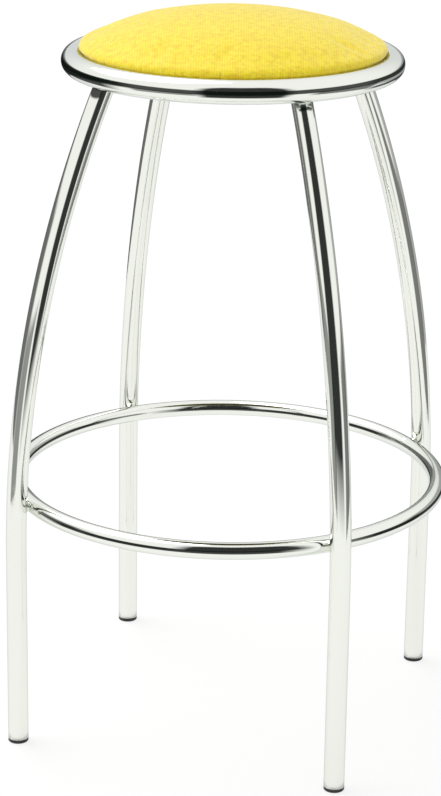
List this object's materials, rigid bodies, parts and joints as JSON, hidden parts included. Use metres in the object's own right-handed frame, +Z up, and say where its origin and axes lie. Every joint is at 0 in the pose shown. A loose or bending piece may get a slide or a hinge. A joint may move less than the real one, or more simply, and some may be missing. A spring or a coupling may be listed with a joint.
{
  "type": "bar stool",
  "caption": "Round bar stool with bowed chromed tube legs, a foot ring and a domed upholstered seat held in a tube ring.",
  "frame": {"origin": "on the floor, at the middle of the four feet", "axes": "+Z up along the stool's axis; the legs stand at 45 degrees to X and Y; the picture looks from the -Y side, a little from +X"},
  "size_m": [0.4793, 0.4794, 0.7834],
  "materials": {
    "chromed_steel": "polished chrome plate on steel tube",
    "yellow_cloth": "plain woven upholstery cloth",
    "seat_foam": "open-cell polyurethane foam",
    "plywood": "bare birch plywood",
    "zinc_plated_steel": "bright zinc plate",
    "black_plastic": "moulded polyethylene"
  },
  "bodies": {
    "root": {"cover_staples": "zinc_plated_steel", "foot_ring": "chromed_steel", "foot_ring_welds": "chromed_steel", "glide_back_left": "black_plastic", "glide_back_right": "black_plastic", "glide_front_left": "black_plastic", "glide_front_right": "black_plastic", "leg_back_left": "chromed_steel", "leg_back_right": "chromed_steel", "leg_front_left": "chromed_steel", "leg_front_right": "chromed_steel", "leg_welds": "chromed_steel", "seat_board": "plywood", "seat_bracket_back_left": "chromed_steel", "seat_bracket_back_right": "chromed_steel", "seat_bracket_front_left": "chromed_steel", "seat_bracket_front_right": "chromed_steel", "seat_cover": "yellow_cloth", "seat_foam": "seat_foam", "seat_ring": "chromed_steel", "seat_screws": "zinc_plated_steel", "seat_washers": "zinc_plated_steel", "tee_nuts": "zinc_plated_steel"}
  },
  "joints": []
}
